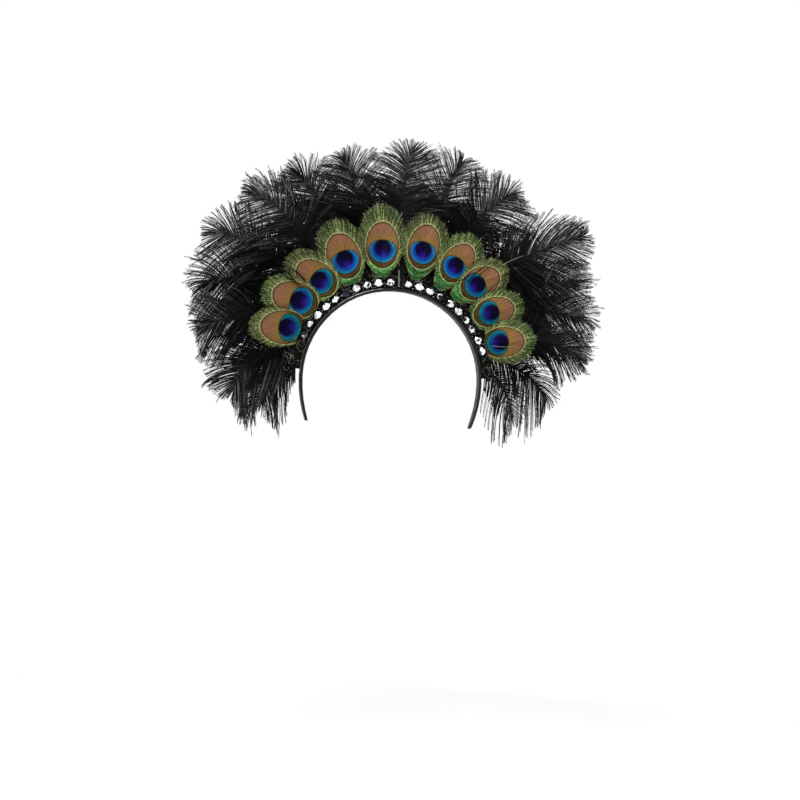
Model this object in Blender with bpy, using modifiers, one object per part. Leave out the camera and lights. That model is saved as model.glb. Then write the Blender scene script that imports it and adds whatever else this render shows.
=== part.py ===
# Feather headband: a fan of black ostrich plumes, a row of peacock eyes and a row of cut
# stones, carried by a curved backing strip on a satin-covered band.
# Metres, +Z up, the front faces -Y, +X is the viewer's right. The origin is the middle of
# the band's inner face at the crown, where the band sits on the head.

import math

import bmesh
import bpy
from mathutils import Vector

MM = 0.001
GAP = 0.3 * MM                  # clearance between neighbouring pieces

# The band: an arch over the crown with two arms that turn in above the ears
HEAD_RADIUS = 80 * MM           # inner face of the arch
BAND_THICKNESS = 2.4 * MM
BAND_WIDTH = 14 * MM            # front to back at the crown
BAND_EDGE = 0.8 * MM            # cut corner of the band's section
ARCH_STEPS = 28
ARM_SECTIONS = (                # mm: drop below the arch's centre, turn inwards, width
    # drop  turn  width
    (11,   0.5,  13.5),
    (21,   1.9,  12.5),
    (30,   4.0,  11.2),
    (37,   6.1,  9.5),
    (40,   7.1,  6.0),
)

# The backing strip stands on the band and carries stones, eyes and plumes
STRIP_THICKNESS = 2 * MM
STRIP_TOP = 101 * MM            # radius of its upper edge at the crown
STRIP_END_TOP = 91 * MM         # the same at its ends
STRIP_HALF_ANGLE = 86           # degrees each side of the crown
STRIP_TAPER_POWER = 3           # how late its upper edge falls towards the ends
STRIP_STEPS = 36

# Cut stones, in one row on the strip's front face
STONE_ROW_RADIUS = 87.6 * MM
STONE_ROW_MIDDLE = 2.0          # degrees; the front plume's quill passes here
STONE_FIRST = 5.3               # degrees from the middle to the first stone
STONE_PITCH = 6.9               # degrees
STONES_PER_SIDE = 10
STONE_SIZES = (8.6, 7.8, 8.9)   # mm across, repeated along the row
STONE_SIDES = 8
STONE_RINGS = (                 # shares of half the stone's size, table first
    # radius height  turned by half a facet
    (0.50,   0.62,   0),
    (0.80,   0.46,   1),
    (1.00,   0.20,   0),
    (1.00,   0.10,   0),
    (0.86,   0.00,   0),
)

# Plumes: columns are the quill's angle at the strip, the bend and the tip of its line
# (reach from the arch's centre in mm, angle in degrees), the longest barb in mm and the
# layer, 0 in front to 2 at the back. From the wearer's right over the crown to the left.
PLUMES = (
    # root   bend       tip        barb  layer
    (-81,  (112, -89), (122, -106), 40, 2),
    (-73,  (134, -82), (150, -99),  46, 1),
    (-65,  (152, -66), (179, -79),  46, 0),
    (-57,  (168, -55), (196, -66),  46, 2),
    (-48,  (180, -44), (213, -54),  48, 1),
    (-37,  (178, -31), (219, -41),  46, 0),
    (-26,  (178, -19), (216, -27),  50, 2),
    (-14,  (170, -11), (214, -15),  48, 1),
    (2,    (171, -1),  (213, 2),    48, 0),
    (14,   (166, 13),  (216, 16),   48, 2),
    (25,   (168, 22),  (214, 31),   50, 1),
    (36,   (158, 40),  (221, 48),   50, 0),
    (46,   (164, 50),  (204, 61),   46, 2),
    (55,   (155, 57),  (193, 71),   48, 1),
    (64,   (152, 70),  (177, 82),   46, 0),
    (72,   (136, 80),  (159, 95),   46, 2),
    (80,   (114, 88),  (130, 105),  40, 1),
)
FRONT_PLUME = 8                 # its quill passes in front of the strip
QUILL_START = 84 * MM           # radius of every quill's lower end
QUILL_RADIUS = 1.4 * MM
QUILL_TIP_RADIUS = 0.6 * MM
LAYERS = (                      # how far each dished layer leans back and curls forward
    (3 * MM, 36 * MM),
    (15 * MM, 24 * MM),
    (28 * MM, 16 * MM),
)
FRONT_SPREAD = 6.5 * MM         # the front plume's lean, from its seat before the strip
SEAT_RADIUS = 89 * MM           # the quills lie on the strip up to here
SPREAD_REACH = 24 * MM          # distance past the seat over which a layer leans
CURL_REACH = 130 * MM           # from the seat to the longest tips
VANE_START = 0.16               # share of the line where the barbs begin
VANE_END = 0.93
LOCKS_PER_SIDE = 9
QUILL_STEPS = 2                 # bare stretches below the vane
LOCK_PLACES = (0.5, 1.0)        # shares of a lock's length where it has a section
LOCK_HALF_DEPTH = (1.8 * MM, 0.8 * MM)   # at those places
LOCK_ROOT_DEPTH = 0.55          # depth of the lowest locks, as a share of the others
LOCK_FILL = (0.90, 0.5)         # share of the room between neighbours, there too
LOCK_DROOP = 0.18               # fall of a lock's end, as a share of its length
LOCK_CURL = 2 * MM              # how far its end curls forward
LOCK_ANGLES = (66, 30)          # degrees from the quill, at the vane's start and end
LOCK_LENGTHS = (0.62, 0.44)     # share of the longest barb, at the vane's start and end
LONGEST_AT = 0.42               # where on the vane the longest barb is
LOCK_FALL_POWER = 1.5           # how late the locks shorten towards the vane's end
TIP_WIDTH = 9 * MM
RING_CORNERS = ((1, 1), (1, -1), (-1, -1), (-1, 1))   # signs across and in depth
LINE_STEP = 0.01                # share of a line over which its direction is taken
LOCK_STEP = 0.1                 # the same along a lock

# Peacock eyes: columns are the dark centre's angle and radius, the turn of the eye's
# axis from upright, the reach from that centre to the top, half the width, and the
# shingle, +1 where the edge nearer the crown lies on top and 0 for the rearmost eye
EYES = (
    # angle  radius  turn  reach  half   side
    (-66.6, 105.2, -89, 34.0, 17.5, 1),
    (-52.8, 109.8, -73, 34.5, 19.5, 1),
    (-39.4, 110.5, -57, 35.5, 20.0, 1),
    (-24.6, 116.0, -23, 37.0, 21.0, 1),
    (-7.0,  118.4, -3,  40.0, 21.5, 0),
    (10.6,  120.2, 11,  33.0, 21.5, -1),
    (26.3,  118.5, 35,  32.0, 20.5, -1),
    (39.1,  116.4, 59,  31.5, 18.5, -1),
    (53.1,  109.6, 74,  30.5, 19.0, -1),
    (68.0,  105.3, 84,  32.0, 20.0, -1),
)
EYE_THICKNESS = 1.0 * MM
EYE_FOOT = 92.6 * MM            # radius where each eye's lower end is cut
EYE_TAPER = 31 * MM             # from the dark centre down to the uncut point
EYE_WIDEST = 7 * MM             # above the dark centre
EYE_VEE_POWER = 1.7             # fullness of the outline below the widest place
EYE_TOP_POWER = 2.2             # and above it
EYE_TOP_SHARE = 0.99            # the outline stops just short of a sharp point
EYE_LIFT = 3.8 * MM             # how far the eye stands off its foot
EYE_TILTS = (2.6 * MM, 4.6 * MM)   # lift of the upper edge, at the foot and above it
EYE_DOME = 1.3 * MM
EYE_RISE = 13 * MM              # length over which the eye rises off the strip
EYE_ROWS = 9
EYE_ROW_POWER = 1.2             # crowds the rows of the grid towards the top
EYE_COLUMNS = 4


def clear_scene():
    for old in list(bpy.data.objects):
        bpy.data.objects.remove(old, do_unlink=True)


def make_material(name, colour, roughness, metallic=0.0):
    material = bpy.data.materials.new(name)
    material.use_nodes = True
    shader = material.node_tree.nodes["Principled BSDF"]
    shader.inputs["Base Color"].default_value = (*colour, 1.0)
    shader.inputs["Roughness"].default_value = roughness
    shader.inputs["Metallic"].default_value = metallic
    return material


def finish_mesh(name, bm, material):
    bmesh.ops.recalc_face_normals(bm, faces=bm.faces)
    if bm.calc_volume(signed=True) < 0:
        bmesh.ops.reverse_faces(bm, faces=bm.faces)
    mesh = bpy.data.meshes.new(name)
    bm.to_mesh(mesh)
    bm.free()
    mesh.materials.append(material)
    return mesh


def finish_object(name, bm, material, collection):
    piece = bpy.data.objects.new(name, finish_mesh(name, bm, material))
    collection.objects.link(piece)
    return piece


def on_arch(radius, degrees, y=0.0):
    # A point at a radius from the arch's centre, its angle clockwise from the crown
    angle = math.radians(degrees)
    return Vector((radius * math.sin(angle), y, radius * math.cos(angle) - HEAD_RADIUS))


def bezier(start, bend, end, t):
    return start * (1 - t) ** 2 + bend * (2 * t * (1 - t)) + end * t ** 2


def blend(low, high, share):
    return low + (high - low) * share


# Band

def make_band(material, collection):
    bm = bmesh.new()
    half = BAND_WIDTH / 2
    outside = BAND_THICKNESS
    section = (
        # across the band's thickness, front to back
        (0, -half + BAND_EDGE),
        (BAND_EDGE, -half),
        (outside - BAND_EDGE, -half),
        (outside, -half + BAND_EDGE),
        (outside, half - BAND_EDGE),
        (outside - BAND_EDGE, half),
        (BAND_EDGE, half),
        (0, half - BAND_EDGE),
    )
    verts = [bm.verts.new((HEAD_RADIUS + out, y, -HEAD_RADIUS)) for out, y in section]
    profile = bm.faces.new(verts)
    bmesh.ops.spin(
        bm, geom=[profile], cent=(0, 0, -HEAD_RADIUS), axis=(0, 1, 0), dvec=(0, 0, 0),
        angle=-math.pi, steps=ARCH_STEPS, use_merge=False, use_duplicate=False)
    ends = [face for face in bm.faces if len(face.verts) == len(section)]
    for end in ends:
        side = math.copysign(1, end.calc_center_median().x)
        last_drop, last_turn, last_width = 0, 0, BAND_WIDTH / MM
        for drop, turn, width in ARM_SECTIONS:
            end = bmesh.ops.extrude_discrete_faces(bm, faces=[end])["faces"][0]
            step = Vector((-side * (turn - last_turn), 0, last_drop - drop)) * MM
            for vert in end.verts:
                vert.co += step
                vert.co.y *= width / last_width
            last_drop, last_turn, last_width = drop, turn, width
    return finish_object("band", bm, material, collection)


# Backing strip

def make_strip(material, collection):
    bm = bmesh.new()
    low = HEAD_RADIUS + BAND_THICKNESS + GAP
    half = STRIP_THICKNESS / 2
    corners = ((low, -half), (STRIP_TOP, -half), (STRIP_TOP, half), (low, half))
    verts = [bm.verts.new(on_arch(radius, STRIP_HALF_ANGLE, y)) for radius, y in corners]
    profile = bm.faces.new(verts)
    centre = Vector((0, 0, -HEAD_RADIUS))
    bmesh.ops.spin(
        bm, geom=[profile], cent=centre, axis=(0, 1, 0), dvec=(0, 0, 0),
        angle=-math.radians(2 * STRIP_HALF_ANGLE), steps=STRIP_STEPS,
        use_merge=False, use_duplicate=False)
    for vert in bm.verts:
        offset = vert.co - centre
        offset.y = 0
        if offset.length > (low + STRIP_TOP) / 2:
            angle = math.degrees(math.atan2(offset.x, offset.z))
            end_share = (abs(angle) / STRIP_HALF_ANGLE) ** STRIP_TAPER_POWER
            top = blend(STRIP_TOP, STRIP_END_TOP, end_share)
            vert.co = on_arch(top, angle, vert.co.y)
    return finish_object("fan_base", bm, material, collection)


# Stones

def stone_angle(index):
    # Numbered from the wearer's right, five degrees or so clear of the front quill
    place = index - STONES_PER_SIDE
    if place < 0:
        return STONE_ROW_MIDDLE - STONE_FIRST + (place + 1) * STONE_PITCH
    return STONE_ROW_MIDDLE + STONE_FIRST + place * STONE_PITCH


def make_stone_mesh(size, material):
    # The back of the stone lies on y = 0 and its table faces -Y
    bm = bmesh.new()
    for radius, height, turned in STONE_RINGS:
        for side in range(STONE_SIDES):
            angle = (side + turned / 2) * 2 * math.pi / STONE_SIDES
            bm.verts.new((radius * math.cos(angle), -height, radius * math.sin(angle)))
    hull = bmesh.ops.convex_hull(bm, input=bm.verts)
    bmesh.ops.delete(bm, geom=hull["geom_interior"] + hull["geom_unused"], context="VERTS")
    bmesh.ops.dissolve_limit(
        bm, angle_limit=math.radians(1), verts=bm.verts, edges=bm.edges)
    bmesh.ops.scale(bm, vec=(size / 2, size / 2, size / 2), verts=bm.verts)
    return finish_mesh("cut_stone", bm, material)


def place_stone(index, mesh, collection):
    angle = stone_angle(index)
    stone = bpy.data.objects.new(f"stone_{index + 1:02d}", mesh)
    stone.location = on_arch(STONE_ROW_RADIUS, angle, -STRIP_THICKNESS / 2 - GAP)
    stone.rotation_euler.y = math.radians(angle)
    collection.objects.link(stone)
    return stone


# Plumes

def past_seat(flat, seat_radius):
    # Distance of a point of the fan's face from the arc where the quills leave the strip
    angle = math.degrees(math.atan2(flat.x, flat.z + HEAD_RADIUS))
    if abs(angle) <= STRIP_HALF_ANGLE:
        return max(0.0, math.hypot(flat.x, flat.z + HEAD_RADIUS) - seat_radius)
    end = on_arch(seat_radius, math.copysign(STRIP_HALF_ANGLE, angle))
    return (flat - end).length


def in_layer(number, flat, curl_share=0.0):
    # Puts a point of the fan's face on the dished surface of the plume's layer
    layer = PLUMES[number][4]
    spread, curl = LAYERS[layer]
    seat = STRIP_THICKNESS / 2 + GAP + QUILL_RADIUS
    seat_radius = SEAT_RADIUS
    if number == FRONT_PLUME:
        seat = -seat
        spread = FRONT_SPREAD
        seat_radius = STRIP_TOP
    past = past_seat(flat, seat_radius)
    share = 1 - math.exp(-past / SPREAD_REACH)
    forward = curl * (past / CURL_REACH) ** 3 + LOCK_CURL * curl_share * share
    return Vector((flat.x, seat + spread * share - forward, flat.z))


def flat_line(number, t):
    root, bend, tip = PLUMES[number][:3]
    start = on_arch(QUILL_START, root)
    middle = on_arch(bend[0] * MM, bend[1])
    end = on_arch(tip[0] * MM, tip[1])
    return bezier(start, middle, end, t)


def plume_frame(number, t):
    # Point on the quill with its direction, its side in the fan's face and its front
    here = in_layer(number, flat_line(number, t))
    ahead = in_layer(number, flat_line(number, t + LINE_STEP))
    behind = in_layer(number, flat_line(number, t - LINE_STEP))
    along = (ahead - behind).normalized()
    side = along.cross(Vector((0, 1, 0))).normalized()
    front = side.cross(along).normalized()
    return here, along, side, front


def lock_length(number, share):
    longest = PLUMES[number][3] * MM
    if share < LONGEST_AT:
        rise = math.sin(share / LONGEST_AT * math.pi / 2)
        return longest * blend(LOCK_LENGTHS[0], 1, rise)
    fall = ((share - LONGEST_AT) / (1 - LONGEST_AT)) ** LOCK_FALL_POWER
    return longest * blend(1, LOCK_LENGTHS[1], fall)


def lock_point(number, t, side_sign, s):
    # A point at share s of the lock that leaves the quill at share t of its line
    share = (t - VANE_START) / (VANE_END - VANE_START)
    flat = flat_line(number, t)
    along = (flat_line(number, t + LINE_STEP) - flat).normalized()
    side = along.cross(Vector((0, 1, 0)))
    angle = math.radians(blend(LOCK_ANGLES[0], LOCK_ANGLES[1], share))
    length = lock_length(number, share)
    way = along * math.cos(angle) + side * side_sign * math.sin(angle)
    fall = Vector((0, 0, -1)) * LOCK_DROOP * length * s * s
    return in_layer(number, flat + way * length * s + fall, s * s)


def set_ring(ring, centre, across, depth, half_width, half_depth):
    # Moves a four-cornered ring: corners 0 and 1 lie ahead, 0 and 3 at the front
    for vert, (wide, deep) in zip(ring, RING_CORNERS):
        vert.co = centre + across * wide * half_width + depth * deep * half_depth


def extrude_ring(bm, ring):
    # Extrudes the face that has these corners and returns the new corners in order
    face = bm.faces.get(ring)
    corners = [vert.co.copy() for vert in ring]
    new_face = bmesh.ops.extrude_discrete_faces(bm, faces=[face])["faces"][0]
    fresh = list(new_face.verts)
    return [min(fresh, key=lambda vert: (vert.co - corner).length) for corner in corners]


def start_box(bm, ring):
    # Extrudes a lone face, which stays as the closed lower end
    moved = bmesh.ops.extrude_face_region(bm, geom=[bm.faces.get(ring)])["geom"]
    fresh = [vert for vert in moved if isinstance(vert, bmesh.types.BMVert)]
    return [min(fresh, key=lambda vert: (vert.co - old.co).length) for old in ring]


def make_quill(bm, number, stations):
    # A square-sectioned tapering rod through the stations; returns its rings
    rings = []
    for index, t in enumerate(stations):
        here, _, side, front = plume_frame(number, t)
        half = blend(QUILL_RADIUS, QUILL_TIP_RADIUS, t) * math.sqrt(0.5)
        if index == 0:
            ring = [bm.verts.new(here + side * wide + front * deep)
                    for wide, deep in RING_CORNERS]
            bm.faces.new(ring)
        elif index == 1:
            ring = start_box(bm, rings[0])
        else:
            ring = extrude_ring(bm, rings[-1])
        set_ring(ring, here, side, front, half, half)
        rings.append(ring)
    return rings


def add_lock(bm, number, ring, middles, index, side_sign):
    # Grows one lock from a side face of the quill, in two tapering stretches
    t = middles[index]
    share = (t - VANE_START) / (VANE_END - VANE_START)
    _, along, _, front = plume_frame(number, t)
    thin = blend(LOCK_ROOT_DEPTH, 1, min(1.0, share / LONGEST_AT))
    for s, fill, half_depth in zip(LOCK_PLACES, LOCK_FILL, LOCK_HALF_DEPTH):
        centre = lock_point(number, t, side_sign, s)
        ahead = (centre - lock_point(number, t, side_sign, s - LOCK_STEP)).normalized()
        across = (along - ahead * along.dot(ahead)).normalized()
        depth = across.cross(ahead).normalized()
        if depth.dot(front) < 0:
            depth.negate()
        room = []
        for other in (index - 1, index + 1):
            if 0 <= other < len(middles):
                beside = lock_point(number, middles[other], side_sign, s)
                room.append(abs((beside - centre).dot(across)))
        ring = extrude_ring(bm, ring)
        set_ring(ring, centre, across, depth, fill * min(room) / 2, half_depth * thin)


def make_plume(number, material, collection):
    bare = [VANE_START * step / QUILL_STEPS for step in range(QUILL_STEPS)]
    vane = [blend(VANE_START, VANE_END, step / LOCKS_PER_SIDE)
            for step in range(LOCKS_PER_SIDE + 1)]
    middles = [(low + high) / 2 for low, high in zip(vane, vane[1:])]
    bm = bmesh.new()
    rings = make_quill(bm, number, bare + vane)
    vane_rings = rings[QUILL_STEPS:]
    for side_sign, near, far in ((1, 0, 1), (-1, 3, 2)):
        for index in range(LOCKS_PER_SIDE):
            low, high = vane_rings[index], vane_rings[index + 1]
            ring = [high[near], high[far], low[far], low[near]]
            add_lock(bm, number, ring, middles, index, side_sign)
    ring = rings[-1]
    for t, width in ((VANE_END + 1) / 2, TIP_WIDTH), (1.0, TIP_WIDTH / 2):
        here, _, side, front = plume_frame(number, t)
        ring = extrude_ring(bm, ring)
        set_ring(ring, here, side, front, width / 2, LOCK_HALF_DEPTH[1])
    return finish_object(f"plume_{number + 1:02d}", bm, material, collection)


# Peacock eyes

def eye_half_width(above, reach, half):
    # Half the width at a height above the dark centre: a vee below, a round top
    if above < EYE_WIDEST:
        down = (EYE_WIDEST - above) / (EYE_WIDEST + EYE_TAPER)
        return half * (1 - down ** EYE_VEE_POWER)
    up = (above - EYE_WIDEST) / (reach - EYE_WIDEST)
    return half * math.sqrt(1 - up ** EYE_TOP_POWER)


def make_eye(number, material, collection):
    angle, radius, turn, top, half, shingle = EYES[number]
    foot = -(radius * MM - EYE_FOOT) / math.cos(math.radians(turn - angle))
    top = top * MM
    centre = on_arch(radius * MM, angle)
    tilt = math.radians(turn)
    up = Vector((math.sin(tilt), 0, math.cos(tilt)))
    right = Vector((math.cos(tilt), 0, -math.sin(tilt)))
    bm = bmesh.new()
    bmesh.ops.create_grid(
        bm, x_segments=EYE_COLUMNS, y_segments=EYE_ROWS, size=1.0)
    seat = STRIP_THICKNESS / 2 + GAP + EYE_THICKNESS / 2
    for vert in bm.verts:
        across = vert.co.x
        share = math.sin((vert.co.y + 1) / 2 * math.pi / 2) ** EYE_ROW_POWER
        above = blend(foot, top * EYE_TOP_SHARE, share)
        width = eye_half_width(above, top, half * MM)
        place = centre + up * above + right * across * width
        reach = max(EYE_FOOT, math.hypot(place.x, place.z + HEAD_RADIUS))
        place = on_arch(reach, math.degrees(math.atan2(place.x, place.z + HEAD_RADIUS)))
        rise = min(1.0, (reach - EYE_FOOT) / EYE_RISE)
        rise = rise * rise * (3 - 2 * rise)
        forward = rise * (EYE_LIFT + EYE_DOME * (1 - across ** 2))
        if shingle:
            forward += blend(*EYE_TILTS, rise) * (1 + shingle * across) / 2
        vert.co = place - Vector((0, seat + forward, 0))
    eye = finish_object(f"peacock_eye_{number + 1:02d}", bm, material, collection)
    wall = eye.modifiers.new("wall", "SOLIDIFY")
    wall.thickness = EYE_THICKNESS
    wall.offset = 0
    return eye


def main():
    clear_scene()
    collection = bpy.data.collections.new("feather_headband")
    bpy.context.scene.collection.children.link(collection)
    satin = make_material("black_satin", (0.012, 0.012, 0.013), 0.45)
    felt = make_material("black_felt", (0.010, 0.010, 0.010), 0.95)
    plume = make_material("black_plume", (0.014, 0.014, 0.015), 0.70)
    peacock = make_material("peacock_green", (0.13, 0.24, 0.05), 0.45)
    crystal = make_material("clear_crystal", (0.85, 0.87, 0.90), 0.05)

    make_band(satin, collection)
    make_strip(felt, collection)
    stone_meshes = [make_stone_mesh(size * MM, crystal) for size in STONE_SIZES]
    for index in range(2 * STONES_PER_SIDE):
        place_stone(index, stone_meshes[index % len(stone_meshes)], collection)
    for number in range(len(PLUMES)):
        make_plume(number, plume, collection)
    for number in range(len(EYES)):
        make_eye(number, peacock, collection)


main()
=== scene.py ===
import math

import bmesh
import bpy
import numpy as np
from mathutils import Matrix, Vector


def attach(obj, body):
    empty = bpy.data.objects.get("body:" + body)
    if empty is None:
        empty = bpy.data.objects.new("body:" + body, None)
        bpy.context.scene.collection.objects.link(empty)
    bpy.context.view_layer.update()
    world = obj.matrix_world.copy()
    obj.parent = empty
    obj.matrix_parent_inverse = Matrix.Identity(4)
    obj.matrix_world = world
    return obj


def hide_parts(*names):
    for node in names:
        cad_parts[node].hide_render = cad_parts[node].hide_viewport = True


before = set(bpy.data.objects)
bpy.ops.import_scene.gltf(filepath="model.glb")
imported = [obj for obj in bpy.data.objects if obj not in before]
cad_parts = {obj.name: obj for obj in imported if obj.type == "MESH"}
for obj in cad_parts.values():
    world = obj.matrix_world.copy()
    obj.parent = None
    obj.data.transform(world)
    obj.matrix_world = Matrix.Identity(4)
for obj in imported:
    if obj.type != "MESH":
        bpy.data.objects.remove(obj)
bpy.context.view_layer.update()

# Looks of the feather headband: barbs for plumes and peacock eyes, jet beads, stray barbs,
# and the finishes of band, backing strip and stones. Lengths are in metres unless a note
# says mm; the fan's face is the XZ plane and its front faces -Y.

mm = 0.001


def blend(low, high, share):
    return low + (high - low) * share


def colour(red, green, blue):
    # Screen values from 0 to 255 as linear light
    parts = [part / 255 for part in (red, green, blue)]
    linear = [part / 12.92 if part <= 0.04045 else ((part + 0.055) / 1.055) ** 2.4
              for part in parts]
    return (*linear, 1.0)


# Shader nodes written as expressions

def mathMethod(operation, turned=False):
    # A method of Value that adds one Math node; turned if the value comes second
    def method(self, other):
        sockets = {0: other, 1: self} if turned else {0: self, 1: other}
        return self.look.node("ShaderNodeMath", {"operation": operation}, sockets)
    return method


class Value:
    # A node's output; arithmetic on it adds Math nodes
    __add__ = __radd__ = mathMethod("ADD")
    __sub__ = mathMethod("SUBTRACT")
    __rsub__ = mathMethod("SUBTRACT", turned=True)
    __mul__ = __rmul__ = mathMethod("MULTIPLY")
    __truediv__ = mathMethod("DIVIDE")
    __pow__ = mathMethod("POWER")
    atLeast = mathMethod("MAXIMUM")
    atMost = mathMethod("MINIMUM")

    def __init__(self, look, socket):
        self.look = look
        self.socket = socket

    def output(self, index):
        return Value(self.look, self.socket.node.outputs[index])

    def step(self, low, high):
        # 0 below low, 1 above high and a smooth change between them
        sockets = {"Value": self, "From Min": low, "From Max": high}
        return self.look.node("ShaderNodeMapRange", {"interpolation_type": "SMOOTHSTEP"}, sockets)


class Look:
    # One material with its nodes
    def __init__(self, name, constants):
        self.material = bpy.data.materials.new(name)
        self.material.use_nodes = True
        self.tree = self.material.node_tree
        self.shader = self.tree.nodes["Principled BSDF"]
        for socket, value in constants.items():
            self.shader.inputs[socket].default_value = value

    def plug(self, value, socket):
        if isinstance(value, Value):
            self.tree.links.new(value.socket, socket)
        else:
            socket.default_value = value

    def node(self, kind, settings=None, sockets=None, output=0):
        made = self.tree.nodes.new(kind)
        for key, value in (settings or {}).items():
            setattr(made, key, value)
        for key, value in (sockets or {}).items():
            self.plug(value, made.inputs[key])
        return Value(self, made.outputs[output])

    def paint(self, share, under, over):
        sockets = {0: share, 6: under, 7: over}
        return self.node("ShaderNodeMix", {"data_type": "RGBA"}, sockets, output=2)

    def brighten(self, tint, factor):
        return self.node("ShaderNodeVectorMath", {"operation": "SCALE"}, {0: tint, "Scale": factor})

    def attribute(self, name):
        return self.node("ShaderNodeAttribute", {"attribute_name": name}, output=2)

    def place(self):
        return self.node("ShaderNodeTexCoord", output=3)

    def noise(self, scale, detail, place=None):
        sockets = {"Vector": place or self.place(), "Scale": scale, "Detail": detail}
        return self.node("ShaderNodeTexNoise", {}, sockets)

    def bump(self, height, distance):
        sockets = {"Height": height, "Distance": distance, "Strength": 1.0}
        self.feed("Normal", self.node("ShaderNodeBump", {}, sockets))

    def feed(self, socket, value):
        self.plug(value, self.shader.inputs[socket])


# Finishes; two numbers under one name are the ends of a smooth step or of a range

plumeFinish = {
    "dark": colour(3, 3, 4),
    # light and warm are painted highlights: barbs of high tone look lit, warm in some patches
    "light": colour(115, 114, 111),
    "warm": colour(115, 111, 106),
    "pale": colour(158, 152, 138),  # of strands whose tone is over 1
    "paleTones": (1.2, 1.4),
    "patches": 14.0,  # per metre; warm where they are high
    "patchEdges": (0.46, 0.70),
    "shade": (0.142, 0.214),  # metres from the arch's centre; painted shade within
    "innerShare": 0.08,  # of the painted highlight that is left in that painted shade
    "lowFrom": 0.02,  # height above the centre; the painted shade eases below
    "lowSteps": (0.0, 0.05),
    "lowShare": 0.65,
    "tonePower": 5.0,  # higher when fewer barbs catch the light
    "toneGain": 2.4,
    "endGain": 0.16,  # more painted highlight towards a barb's end
    "grain": 1100.0,
    "grainGain": 3.6,
    "grainLoss": 0.8,
    "roughness": (0.40, 0.65),  # of dark and of light barbs
    "constants": {"Roughness": 0.45, "Specular IOR Level": 0.05},
}


def makePlumeLook():
    finish = plumeFinish
    look = Look("ostrich_barbs", finish["constants"])
    tone = look.attribute("tone")
    share = look.attribute("reach")
    place = look.place()
    apart = look.node("ShaderNodeSeparateXYZ", {}, {0: place})
    high = apart.output(2) + arch["radius"]
    radius = (apart.output(0) * apart.output(0) + high * high) ** 0.5
    # Painted shade over the crowded middle of the fan, eased for the lower plumes
    unshaded = radius.step(*finish["shade"])
    low = (finish["lowFrom"] - high).step(*finish["lowSteps"])
    unshaded = unshaded.atLeast(low * finish["lowShare"])
    # Painted highlight: strong on barbs of high tone, more towards their ends, dimmed in the
    # painted shade
    paintedHighlight = tone ** finish["tonePower"] * finish["toneGain"] + share * tone * finish["endGain"]
    paintedHighlight = paintedHighlight * blend(finish["innerShare"], 1.0, unshaded)
    grain = look.noise(finish["grain"], 2.0, place) * finish["grainGain"] - finish["grainLoss"]
    paintedHighlight = paintedHighlight * grain.atLeast(0.0)
    warm = look.noise(finish["patches"], 1.0, place).step(*finish["patchEdges"])
    light = look.paint(warm, finish["light"], finish["warm"])
    tint = look.paint(paintedHighlight, finish["dark"], light)
    look.feed("Base Color", look.paint(tone.step(*finish["paleTones"]), tint, finish["pale"]))
    look.feed("Roughness", blend(*finish["roughness"], tone))
    return look.material


eyeFinish = {
    "span": 90.0,  # mm that the pattern's map covers
    "innerGreen": colour(118, 124, 80),
    "midGreen": colour(88, 108, 64),
    "tipGreen": colour(108, 120, 90),
    "olive": colour(96, 92, 64),
    "emerald": colour(80, 136, 76),
    "paleLine": colour(168, 168, 116),
    "edgeLine": colour(36, 34, 14),
    "copperTop": colour(128, 88, 68),
    "copper": colour(124, 94, 52),
    "brown": colour(80, 58, 24),
    "cobalt": colour(12, 62, 152),
    "azure": colour(26, 112, 158),
    "teal": colour(8, 104, 96),
    "tealInner": colour(8, 72, 104),
    "violet": colour(34, 20, 118),
    "indigo": colour(16, 5, 56),
    "heart": colour(6, 3, 26),
    "ovals": {
        # mm: middle above the pattern's centre, half width, reach above and below it
        "copper": (1.5, 14.7, 22.0, 19.0),
        "ring": (-1.0, 12.0, 12.0, 12.0),
        "heart": (0.6, 8.0, 7.6, 8.8),
        "notch": (-8.7, 3.4, 4.6, 5.4),
    },
    "ringTop": 7.4,  # mm; the ring is cut off above
    "ringTopBend": 0.03,  # fall of that cut to its sides, per mm
    "ringCorners": 9.0,  # higher for sharper corners of the cut
    "notchAside": 0.8,  # mm
    "notchMiddle": 1.02,  # the heart's measure there; it is 1 at its edge
    "notchFall": 0.22,
    "edges": {
        # mm outside the copper oval or the ring, unless a note says more
        "midGreen": (1.0, 6.0),
        "tipGreen": (6.0, 13.0),
        "olive": (1.5, 7.0),
        "emerald": (10.0, 17.0),  # below the centre
        "paleEnds": (0.60, 0.92),  # shares of a barb, among the emerald
        "copperTop": (8.0, 20.0),  # above the centre
        "brown": (-4.0, 9.0),  # below the centre
        "paleLine": (0.5, 1.4),
        "edgeLine": (-0.1, 0.25),
        "copper": (-0.9, -0.4),
        "ringLine": (0.2, 0.9),
        "ring": (-0.5, 0.1),
        "ringInside": (0.8, 3.6),  # inside the ring's edge
        "heartTop": (-6.0, 5.0),  # above the centre
        "violet": (0.5, 1.8),  # of the notch's measure
        "heart": (0.84, 1.12),  # of the heart's measure
        "roughness": (-1.0, 4.0),
    },
    "heartTilt": 0.5,  # how its darker top leans to the side
    "tipShare": 0.85,  # of the fringe's end colour
    "paleShare": 0.6,  # of the pale line
    "raggedScale": 26.0,
    "raggedGains": (1.1, 1.6),  # from the tone and from noise
    "raggedOval": 0.35,  # mm that the edges waver
    "raggedRing": 0.30,
    "speckle": 60.0,
    "speckleGains": (4.2, 1.1, 0.12),  # gain, loss and least
    "fringeLight": (0.19, 1.65),  # least, and what the tone adds
    "fringePower": 1.5,
    # Light on copper and blue: least and gain for the tone, then for the speckle
    "copperLight": (0.72, 0.44, 0.88, 0.14),
    "blueLight": (0.72, 0.40, 0.82, 0.22),
    "roughness": (0.44, 0.64),  # on the oval and outside it
    "constants": {"Metallic": 0.30, "Roughness": 0.5, "Specular IOR Level": 0.04},
}


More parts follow.
